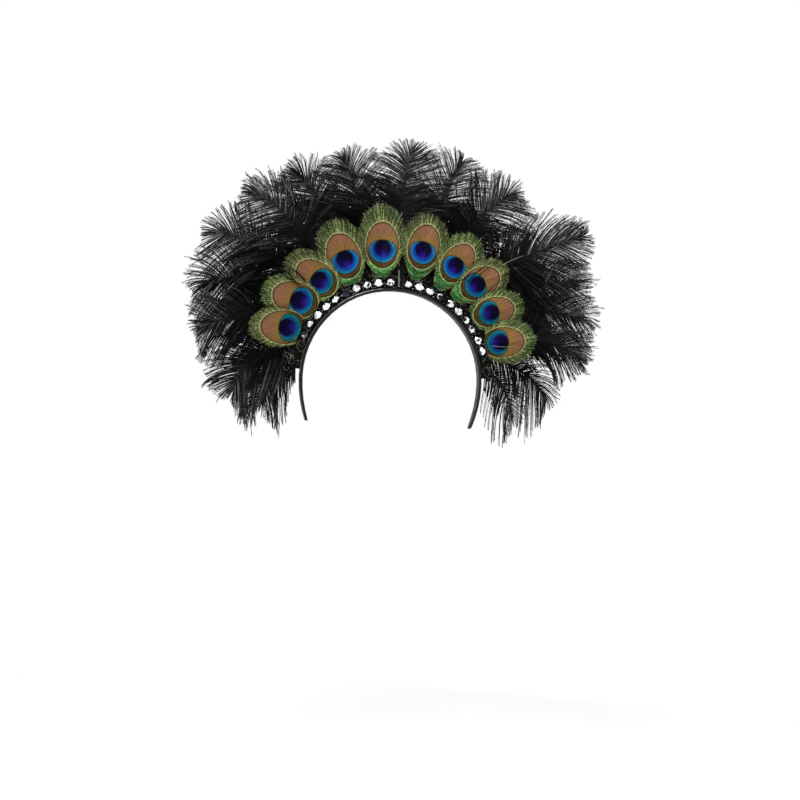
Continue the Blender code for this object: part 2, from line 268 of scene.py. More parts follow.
def oval(across, above, middle, halfWidth, upper, lower):
    # 1 on an egg's outline, less inside it; all lengths in mm
    height = (above - middle).atLeast(0.0) / upper + (above - middle).atMost(0.0) / lower
    wide = across / halfWidth
    return (wide * wide + height * height) ** 0.5


def speckledLight(tone, speckle, gains):
    return (gains[0] + tone * gains[1]) * (gains[2] + speckle * gains[3])


def makeEyeLook():
    finish = eyeFinish
    edges = finish["edges"]
    ovals = finish["ovals"]
    look = Look("peacock_barbs", finish["constants"])
    place = look.node("ShaderNodeUVMap", {"uv_map": "eyePattern"})
    apart = look.node("ShaderNodeSeparateXYZ", {}, {0: place})
    names = ("tone", "reach", "teal", "olive")
    tone, share, teal, olive = [look.attribute(name) for name in names]
    byTone, byNoise = finish["raggedGains"]
    ragged = (tone - 0.5) * byTone
    ragged = ragged + (look.noise(finish["raggedScale"], 3.0, place) - 0.5) * byNoise
    gain, loss, least = finish["speckleGains"]
    speckle = (look.noise(finish["speckle"], 3.0, place) * gain - loss).atLeast(least)
    across = (apart.output(0) - 0.5) * finish["span"]
    above = (apart.output(1) - 0.5) * finish["span"]
    bronze = oval(across, above, *ovals["copper"])
    outside = (bronze - 1.0) * ovals["copper"][1] + ragged * finish["raggedOval"]
    ringSize = ovals["ring"][1]
    ring = oval(across, above, *ovals["ring"])
    cut = above - finish["ringTop"] + across * across * finish["ringTopBend"]
    cut = (1.0 + cut / ringSize).atLeast(0.0)
    power = finish["ringCorners"]
    ring = (ring ** power + cut ** power) ** (1.0 / power)
    ringEdge = (ring - 1.0) * ringSize + ragged * finish["raggedRing"]
    heart = oval(across, above, *ovals["heart"])
    notch = oval(across - finish["notchAside"], above, *ovals["notch"])
    heartEdge = heart.atLeast(finish["notchMiddle"] - notch * finish["notchFall"])

    # Green fringe, yellower beside the oval and emerald below it
    tint = look.paint(outside.step(*edges["midGreen"]), finish["innerGreen"], finish["midGreen"])
    ends = outside.step(*edges["tipGreen"]) * finish["tipShare"]
    tint = look.paint(ends, tint, finish["tipGreen"])
    tint = look.paint(outside.step(*edges["olive"]) * olive, tint, finish["olive"])
    below = (0.0 - above).step(*edges["emerald"])
    tint = look.paint(below, tint, finish["emerald"])
    tint = look.paint(share.step(*edges["paleEnds"]) * below, tint, finish["innerGreen"])
    least, gain = finish["fringeLight"]
    tint = look.brighten(tint, (least + tone ** finish["fringePower"] * gain) * speckle)

    # Copper oval in its pale and dark lines
    copper = look.paint(above.step(*edges["copperTop"]), finish["copper"], finish["copperTop"])
    copper = look.paint((0.0 - above).step(*edges["brown"]), copper, finish["brown"])
    copper = look.brighten(copper, speckledLight(tone, speckle, finish["copperLight"]))
    pale = (1.0 - outside.step(*edges["paleLine"])) * (speckle * finish["paleShare"])
    tint = look.paint(pale, tint, finish["paleLine"])
    tint = look.paint(1.0 - outside.step(*edges["edgeLine"]), tint, finish["edgeLine"])
    tint = look.paint(1.0 - outside.step(*edges["copper"]), tint, copper)

    # Blue ring, greener on some eyes, round the dark heart
    rim = look.paint(teal, finish["azure"], finish["teal"])
    inner = look.paint(teal, finish["cobalt"], finish["tealInner"])
    blue = look.paint((0.0 - ringEdge).step(*edges["ringInside"]), rim, inner)
    high = (above + across * finish["heartTilt"]).step(*edges["heartTop"])
    dark = look.paint(high, finish["indigo"], finish["heart"])
    dark = look.paint(1.0 - notch.step(*edges["violet"]), dark, finish["violet"])
    blue = look.brighten(blue, speckledLight(tone, speckle, finish["blueLight"]))
    blue = look.paint(1.0 - heartEdge.step(*edges["heart"]), blue, dark)
    tint = look.paint(1.0 - ringEdge.step(*edges["ringLine"]), tint, finish["edgeLine"])
    tint = look.paint(1.0 - ringEdge.step(*edges["ring"]), tint, blue)
    look.feed("Base Color", tint)
    look.feed("Roughness", blend(*finish["roughness"], outside.step(*edges["roughness"])))
    return look.material


stoneFinish = {
    "bright": (0.95, 0.96, 0.98, 1.0),
    "dark": (0.02, 0.022, 0.028, 1.0),
    "facet": 300.0,  # cells per metre of the painted reflections in the facets
    "facetEdges": (0.24, 0.52),  # random shares where dark turns to bright
    "constants": {"Metallic": 1.0, "Roughness": 0.04},
}


def makeStoneLook():
    finish = stoneFinish
    look = Look("cut_crystal", finish["constants"])
    # Painted reflections: each cell is a facet painted bright or dark, as if it mirrored bright or
    # dark surroundings
    sockets = {"Vector": look.place(), "Scale": finish["facet"]}
    cells = look.node("ShaderNodeTexVoronoi", {}, sockets, output=1)
    pick = look.node("ShaderNodeSeparateColor", {}, {0: cells}).output(0)
    bright = pick.step(*finish["facetEdges"])
    look.feed("Base Color", look.paint(bright, finish["dark"], finish["bright"]))
    return look.material


satinFinish = {
    "dark": colour(6, 6, 7),
    "light": colour(22, 21, 22),
    "threads": 520.0,
    "threadBend": 1.5,
    "patches": 90.0,
    "threadShare": 0.4,  # of the colour; the rest are patches
    "bumpShare": 0.6,  # the same for the bumps
    "bump": 0.15 * mm,
    "roughness": (0.30, 0.52),
    "constants": {"Roughness": 0.38, "Specular IOR Level": 0.2},
}


def makeSatinLook():
    finish = satinFinish
    look = Look("black_satin", finish["constants"])
    sockets = {"Vector": look.place(), "Scale": finish["threads"], "Detail": 2.0,
               "Distortion": finish["threadBend"]}
    threads = look.node("ShaderNodeTexWave", {"bands_direction": "Y"}, sockets, output=1)
    patches = look.noise(finish["patches"], 2.0)
    weave = threads * finish["threadShare"] + patches * (1 - finish["threadShare"])
    look.feed("Base Color", look.paint(weave, finish["dark"], finish["light"]))
    look.feed("Roughness", blend(*finish["roughness"], patches))
    relief = threads * finish["bumpShare"] + patches * (1 - finish["bumpShare"])
    look.bump(relief, finish["bump"])
    return look.material


feltFinish = {
    "dark": colour(2, 2, 2),
    "light": colour(18, 17, 16),
    "clouds": 700.0,
    "detail": 4.0,
    "roughness": (0.6, 1.0),
    "bump": 0.25 * mm,
    "constants": {"Roughness": 0.8, "Specular IOR Level": 0.05},
}

beadFinish = {
    "dark": colour(6, 6, 8),
    "light": colour(28, 28, 34),
    "clouds": 400.0,
    "detail": 2.0,
    "roughness": (0.04, 0.16),
    "constants": {"Roughness": 0.08, "Coat Weight": 0.6, "Coat Roughness": 0.03},
}

floorFinish = {
    "dark": (0.90, 0.90, 0.90, 1.0),
    "light": (0.96, 0.96, 0.96, 1.0),
    "clouds": 3.0,
    "detail": 2.0,
    "constants": {"Roughness": 0.9},
}


def makeCloudLook(name, finish):
    # Colour, roughness and bumps from one noise, as far as the finish has them
    look = Look(name, finish["constants"])
    cloud = look.noise(finish["clouds"], finish["detail"])
    look.feed("Base Color", look.paint(cloud, finish["dark"], finish["light"]))
    if "roughness" in finish:
        look.feed("Roughness", blend(*finish["roughness"], cloud))
    if "bump" in finish:
        look.bump(cloud, finish["bump"])
    return look.material


# Shared shapes: a template modelled once, then laid along many lines

barbShape = {
    "sides": 3,
    "flatness": 0.6,  # depth beside the width
    "barbulesTo": 0.99,  # share of the barb
    "barbuleReach": (0.7, 1.25),  # shares of their length, at random
    "barbuleTurn": 12,  # degrees, at random
}


def templateArrays(bm, length):
    # Corners as share along, across and depth, and triangles
    bmesh.ops.triangulate(bm, faces=bm.faces)
    bmesh.ops.recalc_face_normals(bm, faces=bm.faces)
    bm.verts.index_update()
    points = np.array([vert.co[:] for vert in bm.verts])
    faces = np.array([[vert.index for vert in face.verts] for face in bm.faces])
    points[:, 0] /= length
    bm.free()
    return points, faces


def makeRod(bm, length, radii, sides, cuts, flatness):
    # A tapering closed rod along +X
    made = bmesh.ops.create_cone(
        bm, cap_ends=True, segments=sides, radius1=radii[0], radius2=radii[1], depth=length)
    verts = made["verts"]
    bmesh.ops.rotate(bm, verts=verts, cent=(0, 0, 0), matrix=Matrix.Rotation(math.pi / 2, 3, "Y"))
    bmesh.ops.translate(bm, verts=verts, vec=(length / 2, 0, 0))
    bmesh.ops.scale(bm, verts=verts, vec=(1, 1, flatness))
    for cut in range(1, cuts):
        geometry = bm.verts[:] + bm.edges[:] + bm.faces[:]
        bmesh.ops.bisect_plane(
            bm, geom=geometry, plane_co=(length * cut / cuts, 0, 0), plane_no=(1, 0, 0))


def addSpike(bm, place, side, length, radius, forward, lift):
    # A barbule: a slender point that leaves the barb forwards and outwards
    made = bmesh.ops.create_cone(
        bm, cap_ends=True, segments=barbShape["sides"], radius1=radius, radius2=0, depth=length)
    verts = made["verts"]
    bmesh.ops.translate(bm, verts=verts, vec=(0, 0, length / 2))
    bmesh.ops.scale(bm, verts=verts, vec=(1, barbShape["flatness"], 1))
    way = Vector((math.cos(forward), side * math.sin(forward) * math.cos(lift),
                  math.sin(forward) * math.sin(lift)))
    turn = Vector((0, 0, 1)).rotation_difference(way).to_matrix()
    bmesh.ops.rotate(bm, verts=verts, cent=(0, 0, 0), matrix=turn)
    bmesh.ops.translate(bm, verts=verts, vec=(place, 0, 0))


def makeBarb(make, seed):
    # A barb of nominal length with barbules on both sides
    shape = barbShape
    chance = np.random.default_rng(seed)
    bm = bmesh.new()
    makeRod(bm, make["length"], make["radii"], shape["sides"], make["cuts"], shape["flatness"])
    for index in range(make["barbules"]):
        place = (index + 0.5) / make["barbules"]
        share = blend(make["barbulesFrom"], shape["barbulesTo"], place)
        side = 1 if index % 2 else -1
        reach = make["barbuleLength"] * chance.uniform(*shape["barbuleReach"])
        turn = chance.uniform(-shape["barbuleTurn"], shape["barbuleTurn"])
        forward = math.radians(make["barbuleAngle"] + turn)
        lift = math.radians(chance.uniform(-make["barbuleLift"], make["barbuleLift"]))
        addSpike(bm, share * make["length"], side, reach, make["barbuleRadius"], forward, lift)
    return templateArrays(bm, make["length"])


def layTemplate(template, lines, thickness):
    # Copies the template along each line; lines has the shape (copies, stations, 3)
    points, faces = template
    copies, stations, _ = lines.shape
    place = np.clip(points[:, 0], 0, None) * (stations - 1)
    first = np.minimum(place.astype(int), stations - 2)
    rest = (place - first)[None, :, None]
    here = lines[:, first] * (1 - rest) + lines[:, first + 1] * rest
    ahead = lines[:, first + 1] - lines[:, first]
    ahead /= np.linalg.norm(ahead, axis=2, keepdims=True)
    across = np.cross(ahead, (0.0, 1.0, 0.0))
    across /= np.linalg.norm(across, axis=2, keepdims=True)
    depth = np.cross(ahead, across)
    spread = across * points[None, :, 1:2] + depth * points[None, :, 2:3]
    laid = here + spread * np.reshape(thickness, (-1, 1, 1))
    shifted = faces[None] + (np.arange(copies) * len(points))[:, None, None]
    shares = np.broadcast_to(np.clip(points[:, 0], 0, 1), (copies, len(points)))
    return laid.reshape(-1, 3), shifted.reshape(-1, 3), shares.reshape(-1)


def addObject(name, data):
    thing = bpy.data.objects.new(name, data)
    bpy.context.scene.collection.objects.link(thing)
    return thing


def addMesh(bm, name, material):
    mesh = bpy.data.meshes.new(name)
    bm.to_mesh(mesh)
    bm.free()
    mesh.materials.append(material)
    return addObject(name, mesh)


class Bundle:
    # Gathers laid copies and makes one joined mesh of them
    def __init__(self):
        self.points = []
        self.faces = []
        self.values = {}
        self.count = 0

    def add(self, points, faces, **values):
        self.points.append(points)
        self.faces.append(faces + self.count)
        self.count += len(points)
        for name, value in values.items():
            self.values.setdefault(name, []).append(np.broadcast_to(value, len(points)))

    def lay(self, templates, lines, tones, thickness=1.0):
        # Each template on every few lines, so that neighbours differ
        step = len(templates)
        for index, template in enumerate(templates):
            points, faces, shares = layTemplate(template, lines[index::step], thickness)
            tone = np.repeat(tones[index::step], len(template[0]))
            self.add(points, faces, tone=tone, reach=shares)

    def makePiece(self, name, material):
        points = np.concatenate(self.points)
        faces = np.concatenate(self.faces)
        mesh = bpy.data.meshes.new(name)
        mesh.from_pydata(points, [], faces)
        for key, parts in self.values.items():
            mesh.attributes.new(key, "FLOAT", "POINT").data.foreach_set(
                "value", np.concatenate(parts).astype(np.float32))
        mesh.materials.append(material)
        return addObject(name, mesh), points, faces


# The fan's frame: radii from the arch's centre, angles clockwise from the crown

arch = {
    "radius": 80 * mm,
    "stripThickness": 2 * mm,
    "stripTop": 101 * mm,
    "halfAngle": 86,
    "gap": 0.3 * mm,  # between strip and quills
}


def named(fields, *rows):
    # A table's rows, with a name for every number
    return [dict(zip(fields.split(), row)) for row in rows]


def onArch(radius, degrees):
    angle = np.radians(degrees)
    return np.stack([radius * np.sin(angle), radius * np.cos(angle) - arch["radius"]], -1)


def polar(flat):
    # Radius and degrees of points, the way back from onArch
    across, high = flat[..., 0], flat[..., 1] + arch["radius"]
    return np.hypot(across, high), np.degrees(np.arctan2(across, high))


def pastSeat(flat, seatRadius):
    # How far points lie beyond the arc where the quills leave the strip
    radius, angle = polar(flat)
    end = onArch(seatRadius, np.copysign(arch["halfAngle"], angle))
    beyondEnd = np.linalg.norm(flat - end, axis=-1)
    beside = np.abs(angle) <= arch["halfAngle"]
    return np.where(beside, np.maximum(0, radius - seatRadius), beyondEnd)


# Ostrich plumes

plumeRows = named(
    "root bend tip barb layer clump barbs down hang sweep",
    # degrees; mm and degrees; mm and degrees; longest barb in mm; 0 in front; most barbs that
    # cling together; barbs and down on each side; how far the lower side turns downwards,
    # 0 to 1; degrees off the barbs' angle
    (-81, (112, -89), (116, -104), 40, 2, 6, 140, 30, 0.60, 0),
    (-73, (134, -82), (141, -97), 48, 1, 5, 300, 80, 0.36, 0),
    (-65, (152, -66), (175, -78), 45, 0, 5, 260, 140, 0.10, 4),
    (-57, (168, -55), (188, -66), 50, 2, 5, 240, 220, 0, 0),
    (-48, (180, -44), (206, -54), 48, 1, 5, 260, 190, 0, 0),
    (-37, (178, -31), (209, -41), 45, 0, 5, 280, 190, 0, 0),
    (-26, (178, -19), (206, -28), 48, 2, 5, 280, 220, 0, 0),
    (-14, (170, -11), (204, -15), 48, 1, 5, 240, 190, 0, 0),
    (2, (171, -1), (207, 2), 47, 0, 5, 320, 190, 0, 0),
    (14, (166, 13), (212, 16), 52, 2, 5, 240, 220, 0, 0),
    (25, (168, 22), (203, 31), 54, 1, 5, 320, 190, 0, 0),
    (36, (158, 41), (215, 50), 51, 0, 5, 380, 190, 0, 0),
    (46, (164, 50), (200, 61), 52, 2, 5, 240, 220, 0, 0),
    (55, (155, 57), (192, 71), 50, 1, 5, 240, 160, 0.05, 0),
    (64, (152, 70), (176, 80), 37, 0, 5, 260, 140, 0, 14),
    (72, (136, 80), (152, 95), 48, 2, 4, 110, 30, 0.80, 0),
    (80, (114, 88), (121, 105), 42, 1, 4, 60, 14, 0.90, 0),
)

downwards = np.array((0.0, -1.0))

plumeMake = {
    "seed": 100,
    "barbSeeds": (0, 1, 2),  # one for each template
    "frontPlume": 8,  # its quill passes in front of the strip
    "quillStart": 84 * mm,
    "quillRadii": (1.4 * mm, 0.35 * mm),
    "layers": ((3 * mm, 36 * mm), (15 * mm, 24 * mm), (28 * mm, 16 * mm)),  # spread, curl
    "frontSpread": 6.5 * mm,
    "seatRadius": 89 * mm,
    "spreadReach": 24 * mm,
    "curlReach": 130 * mm,
    "vane": (0.06, 0.97),  # shares of the line that carry barbs
    "quillEnd": 0.98,
    "quillStations": 25,
    "quillSides": 8,
    "quillFlatness": 0.8,
    "smallStep": 0.01,  # share of the quill
    "placeJitter": 0.4,  # of the distance between two barbs
    "angles": (66, 42),  # from the quill, at the vane's start and end
    "frontAngles": (60, 66),
    "tipClosed": 0.9,  # share of the angle that the last barbs lose
    "tipPower": 9,
    "angleWaver": 4,  # slow change of the angle along the quill
    "angleKnots": 9,
    "angleJitter": 2.2,
    "bend": -3,  # degrees, towards the tip if under 0
    "bendWaver": 18,
    "bendKnots": 7,
    "bendJitter": 4,
    "hook": 14,  # degrees that the ends curl, at random
    "hookPower": 3,
    "lengths": (0.66, 0.21),  # share of the longest barb, start and end
    "longestAt": 0.45,
    "fallPower": 2.0,  # higher for a fuller plume before its tip
    "lengthJitter": 0.05,
    "clumpJitter": 0.08,
    "upperHang": 0.25,  # share of a plume's hang on its upper side
    "upperTrim": 0.45,  # how much the hang shortens that side
    "droop": 0.18,
    "droopJitter": 0.03,
    "leastClump": 2,
    "endClump": 3,
    "bodyShare": 0.7,  # beyond it every clump is an end clump
    "cling": 0.84,
    "clingAtTip": 0.50,
    "clingTipPower": 4,
    "clingPower": 1.1,
    # Shares of the barb's length, the vane and the cling; gather under 1 crowds to the tip
    "barbs": {"reach": 1.0, "end": 1.0, "gather": 0.80, "cling": 1.0},
    "down": {"reach": 0.56, "end": 0.60, "gather": 1.5, "cling": 0.1},
    "fluff": 1.0 * mm,  # how far a barb's end strays in depth
    "clumpFluff": 1.6 * mm,
    "fluffPower": 1.5,
    "clumpTone": 0.32,  # share of a barb's tone that is its clump's
    "downTone": 0.8,
    "quillTone": 0.42,
    "bareShare": 0.14,  # of the front quill, greyer before the strip
    "bareTone": 1.25,
    "frontQuill": 0.62,  # its thickness beside the others'
    "stations": 13,
}

plumeBarb = {
    "length": 45 * mm,
    "radii": (0.34 * mm, 0.18 * mm),
    "cuts": 5,
    "barbules": 10,
    "barbulesFrom": 0.10,
    "barbuleLength": 1.8 * mm,
    "barbuleRadius": 0.20 * mm,
    "barbuleAngle": 30,
    "barbuleLift": 40,
}

plumeDown = {
    "length": 45 * mm,
    "radii": (0.80 * mm, 0.50 * mm),
    "cuts": 4,
    "barbules": 0,
}


def flatLine(row, share):
    # Points of a plume's quill on the fan's face
    start = onArch(plumeMake["quillStart"], row["root"])
    middle = onArch(row["bend"][0] * mm, row["bend"][1])
    end = onArch(row["tip"][0] * mm, row["tip"][1])
    share = np.asarray(share)[..., None]
    return start * (1 - share) ** 2 + middle * 2 * share * (1 - share) + end * share ** 2


def layerDepth(number, flat):
    # Depth of the plume's dished layer behind a point of the fan's face
    make = plumeMake
    spread, curl = make["layers"][plumeRows[number]["layer"]]
    seat = arch["stripThickness"] / 2 + arch["gap"] + make["quillRadii"][0]
    seatRadius = make["seatRadius"]
    if number == make["frontPlume"]:
        seat = -seat
        spread = make["frontSpread"]
        seatRadius = arch["stripTop"]
    past = pastSeat(flat, seatRadius)
    outwards = spread * (1 - np.exp(-past / make["spreadReach"]))
    return seat + outwards - curl * (past / make["curlReach"]) ** 3


def toPoints(flat, depth):
    return np.stack([flat[..., 0], depth, flat[..., 1]], -1)


def barbLengths(longest, share):
    make = plumeMake
    rise = np.sin(np.clip(share / make["longestAt"], 0, 1) * math.pi / 2)
    fall = np.clip((share - make["longestAt"]) / (1 - make["longestAt"]), 0, 1)
    fall = fall ** make["fallPower"]
    low = blend(make["lengths"][0], 1, rise)
    return longest * np.where(share < make["longestAt"], low, blend(1, make["lengths"][1], fall))


def clumpNumbers(count, most, chance):
    # The clump that each of the neighbouring barbs belongs to
    sizes = chance.integers(plumeMake["leastClump"], most + 1, count)
    sizes[np.cumsum(sizes) > count * plumeMake["bodyShare"]] = plumeMake["endClump"]
    return np.searchsorted(np.cumsum(sizes), np.arange(count), side="right")


def clingTogether(flat, share, clump, most):
    # Draws neighbouring barbs towards their clump's middle, more at their ends
    make = plumeMake
    middles = np.stack([flat[clump == index].mean(0) for index in range(clump.max() + 1)])
    nearTip = share[:, None, None] ** make["clingTipPower"]
    cling = most * blend(make["cling"], make["clingAtTip"], nearTip)
    weight = cling * np.linspace(0, 1, flat.shape[1])[None, :, None] ** make["clingPower"]
    return flat + (middles[clump] - flat) * weight


def evenShares(count, jitter, chance):
    # Shares from 0 to 1 at even steps, each a little off its place
    return (np.arange(count) + chance.uniform(-jitter, jitter, count) + 0.5) / count


def waver(chance, share, amount, knots):
    # A slow random change along the quill
    return np.interp(share, np.linspace(0, 1, knots), chance.normal(0, amount, knots))


def walk(start, way, step):
    # Lines that leave their starts and take a step in every direction in turn
    moves = np.cumsum(way * step, axis=1)
    return start[:, None] + np.concatenate([np.zeros((len(start), 1, 2)), moves], axis=1)


def barbWays(number, share, clump, along, side, chance):
    # Direction of every barb's steps: its angle from the quill, bend, hook and hang
    make = plumeMake
    row = plumeRows[number]
    count = len(share)
    angles = make["frontAngles"] if number == make["frontPlume"] else make["angles"]
    closed = make["tipClosed"] * share ** make["tipPower"]
    angle = (blend(angles[0], angles[1], share) - row["sweep"]) * (1 - closed)
    wave = waver(chance, share, make["angleWaver"], make["angleKnots"])
    angle += wave + chance.normal(0, make["angleJitter"], count)
    angle = np.radians(angle)[:, None]
    bend = make["bend"] + waver(chance, share, make["bendWaver"], make["bendKnots"])
    bend = np.radians(bend + chance.normal(0, make["bendJitter"], count))[:, None]
    hook = np.radians(chance.normal(0, make["hook"], clump.max() + 1)[clump])[:, None]
    s = np.linspace(0, 1, make["stations"])
    between = (s[None, 1:] + s[None, :-1]) / 2
    heading = (angle + bend * between + hook * between ** make["hookPower"])[..., None]
    way = along[:, None] * np.cos(heading) + side[:, None] * np.sin(heading)
    hang = row["hang"] * np.where(side[:, 1] < 0, 1.0, make["upperHang"])
    way = blend(way, downwards, hang[:, None, None] * between[..., None])
    return way / np.linalg.norm(way, axis=2, keepdims=True)


def plumeLines(number, kindName, sideSign, chance):
    # Stations of every barb on one side of the quill, and the barbs' tones
    make = plumeMake
    row = plumeRows[number]
    kind = make[kindName]
    count = row[kindName]
    share = kind["end"] * evenShares(count, make["placeJitter"], chance) ** kind["gather"]
    clump = clumpNumbers(count, row["clump"], chance)
    clumps = clump.max() + 1
    root = blend(make["vane"][0], make["vane"][1], share)
    flat = flatLine(row, root)
    along = flatLine(row, root + make["smallStep"]) - flat
    along /= np.linalg.norm(along, axis=1, keepdims=True)
    side = np.stack([-along[:, 1], along[:, 0]], -1) * sideSign
    length = barbLengths(row["barb"] * mm, share)
    length *= 1 + chance.normal(0, make["lengthJitter"], count)
    length *= kind["reach"] * (1 + chance.normal(0, make["clumpJitter"], clumps)[clump])
    length *= 1 - row["hang"] * np.where(side[:, 1] < 0, 0.0, make["upperTrim"])
    way = barbWays(number, share, clump, along, side, chance)
    laid = walk(flat, way, length[:, None, None] / (make["stations"] - 1))
    droop = (make["droop"] + chance.normal(0, make["droopJitter"], count)) * length
    s = np.linspace(0, 1, make["stations"])
    laid = laid + downwards * droop[:, None, None] * s[None, :, None] ** 2
    laid = clingTogether(laid, share, clump, kind["cling"])
    stray = chance.normal(0, make["fluff"], count)
    stray += chance.normal(0, make["clumpFluff"], clumps)[clump]
    tones = chance.uniform(0, 1, count)
    tones = blend(tones, chance.uniform(0, 1, clumps)[clump], make["clumpTone"])
    depth = layerDepth(number, laid) + stray[:, None] * s[None] ** make["fluffPower"]
    return toPoints(laid, depth), tones


def makePlumes(material):
    make = plumeMake
    templates = [makeBarb(plumeBarb, seed) for seed in make["barbSeeds"]]
    down = makeBarb(plumeDown, 0)
    bm = bmesh.new()
    cuts = make["quillStations"] - 1
    makeRod(bm, 1.0, make["quillRadii"], make["quillSides"], cuts, make["quillFlatness"])
    quill = templateArrays(bm, 1.0)
    for number, row in enumerate(plumeRows):
        chance = np.random.default_rng(make["seed"] + number)
        bundle = Bundle()
        flat = flatLine(row, np.linspace(0, make["quillEnd"], make["quillStations"]))
        line = toPoints(flat, layerDepth(number, flat))[None]
        front = number == make["frontPlume"]
        thickness = make["frontQuill"] if front else 1.0
        points, faces, shares = layTemplate(quill, line, thickness)
        bare = (shares < make["bareShare"]) & front
        tone = np.where(bare, make["bareTone"], make["quillTone"])
        bundle.add(points, faces, tone=tone, reach=shares)
        for sideSign in (1, -1):
            lines, tones = plumeLines(number, "barbs", sideSign, chance)
            bundle.lay(templates, lines, tones)
            lines, tones = plumeLines(number, "down", sideSign, chance)
            bundle.lay([down], lines, tones * make["downTone"])
        name = f"plume_{number + 1:02d}"
        piece, _, _ = bundle.makePiece(f"{name}_barbs", material)
        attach(piece, "root")
        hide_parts(name)


# Peacock eyes

eyeRows = named(
    "angle radius turn reach half side pattern teal olive",
    # mm and degrees; side is the one that lies over its neighbour, 1 for the right
    (-66.6, 105.2, -89, 34.0, 17.5, 1, 1.00, 0.90, 0.50),
    (-52.8, 109.8, -73, 34.5, 19.5, 1, 1.02, 0.50, 0.10),
    (-39.4, 110.5, -57, 35.5, 20.0, 1, 0.98, 0.70, 0.85),
    (-24.6, 116.0, -23, 37.0, 21.0, 1, 1.00, 0.10, 0.40),
    (-7.0, 118.4, -3, 40.0, 21.5, 0, 1.00, 0.30, 0.30),
    (10.6, 120.2, 11, 33.0, 21.5, -1, 0.98, 0.08, 0.55),
    (26.3, 118.5, 35, 32.0, 20.5, -1, 0.93, 0.20, 0.00),
    (39.1, 116.4, 59, 31.5, 18.5, -1, 0.93, 0.55, 0.85),
    (53.1, 109.6, 74, 30.5, 19.0, -1, 0.90, 0.75, 0.05),
    (68.0, 105.3, 84, 32.0, 20.0, -1, 0.92, 0.70, 0.10),
)

eyeMake = {
    "seed": 300,
    "barbSeeds": (20, 21, 22),
    "foot": 92.6 * mm,  # radius where the eyes are trimmed
    "taper": 31 * mm,
    "widest": 7 * mm,  # height above the dark centre
    "footPower": 1.7,
    "topPower": 2.2,
    "leastHalf": 5 * mm,  # half width for the dome near the ends
    "lift": 3.8 * mm,
    "tilts": (2.6 * mm, 4.6 * mm),  # of a shingled side, at the foot and above
    "dome": 1.3 * mm,
    "rise": 13 * mm,
    "seat": 0.8 * mm,  # depth of the strip's gap and half the vane
    "barbsPerSide": 92,
    "placeJitter": 0.3,  # of the distance between two barbs
    "endPower": 1.15,  # higher for more barbs at the foot
    "starts": (0.98, 0.42),  # first and last start, shares of foot and top
    "startPower": 1.25,
    "middle": (0.60, 0.36),  # a barb's bend, shares across and above
    "barbLift": 0.35 * mm,
    "trim": 0.99,  # the barbs' rods end here, barbules reach on
    "trimJitter": 0.032,
    "stations": 9,
    "leafGrid": (12, 18),
    "leafShare": 0.80,
    "leafThickness": 0.5 * mm,
    "leafTone": 0.2,
}

eyeBarb = {
    "length": 25 * mm,
    "radii": (0.42 * mm, 0.22 * mm),
    "cuts": 5,
    "barbules": 10,
    "barbulesFrom": 0.50,
    "barbuleLength": 2.4 * mm,
    "barbuleRadius": 0.17 * mm,
    "barbuleAngle": 28,
    "barbuleLift": 18,
}


def eyeHalfWidth(row, above):
    # Half the width at a height above the dark centre: a vee below, a round top
    make = eyeMake
    top, half = row["reach"] * mm, row["half"] * mm
    down = np.clip((make["widest"] - above) / (make["widest"] + make["taper"]), 0, 1)
    up = np.clip((above - make["widest"]) / (top - make["widest"]), 0, 1)
    below = 1 - down ** make["footPower"]
    return half * np.where(above < make["widest"], below, np.sqrt(1 - up ** make["topPower"]))


def eyeAxes(row):
    turn = math.radians(row["turn"])
    up = np.array((math.sin(turn), math.cos(turn)))
    right = np.array((math.cos(turn), -math.sin(turn)))
    return onArch(row["radius"] * mm, row["angle"]), up, right


def eyeFoot(row):
    # Height of the trimmed foot, which lies below the dark centre
    lean = math.radians(row["turn"] - row["angle"])
    return -(row["radius"] * mm - eyeMake["foot"]) / math.cos(lean)


def eyePoints(row, across, above, forward=0.0):
    # Points of the eye's domed and shingled face; across and above in metres
    make = eyeMake
    centre, up, right = eyeAxes(row)
    flat = centre + up * above[..., None] + right * across[..., None]
    radius, angle = polar(flat)
    flat = onArch(np.maximum(make["foot"], radius), angle)
    half = np.maximum(eyeHalfWidth(row, above), make["leastHalf"])
    wide = np.clip(across / half, -1, 1)
    rise = np.clip((radius - make["foot"]) / make["rise"], 0, 1)
    rise = rise * rise * (3 - 2 * rise)  # smooth at both ends
    lift = rise * (make["lift"] + make["dome"] * (1 - wide ** 2))
    if row["side"]:
        tilt = blend(make["tilts"][0], make["tilts"][1], rise)
        lift = lift + tilt * (1 + row["side"] * wide) / 2
    seat = arch["stripThickness"] / 2 + make["seat"]
    return toPoints(flat, -(seat + lift + forward))


def eyeLines(row, sideSign, chance):
    # Stations of every barb on one side of an eye
    make = eyeMake
    count = make["barbsPerSide"]
    foot, top = eyeFoot(row), row["reach"] * mm
    share = evenShares(count, make["placeJitter"], chance)
    endAbove = blend(foot, top, np.sin(share * math.pi / 2) ** make["endPower"])
    endAcross = eyeHalfWidth(row, endAbove)
    low, high = make["starts"]
    startAbove = blend(foot * low, top * high, share ** make["startPower"])
    trim = make["trim"] + chance.normal(0, make["trimJitter"], count)
    endAcross = endAcross * trim
    endAbove = blend(startAbove, endAbove, trim)
    middleAcross = endAcross * make["middle"][0]
    middleAbove = blend(startAbove, endAbove, make["middle"][1])
    s = np.linspace(0, 1, make["stations"])[None]
    weights = ((1 - s) ** 2, 2 * s * (1 - s), s ** 2)
    across = weights[1] * middleAcross[:, None] + weights[2] * endAcross[:, None]
    above = (weights[0] * startAbove[:, None] + weights[1] * middleAbove[:, None]
             + weights[2] * endAbove[:, None])
    height = chance.uniform(0, make["barbLift"], count)[:, None]
    return eyePoints(row, across * sideSign, above, height)


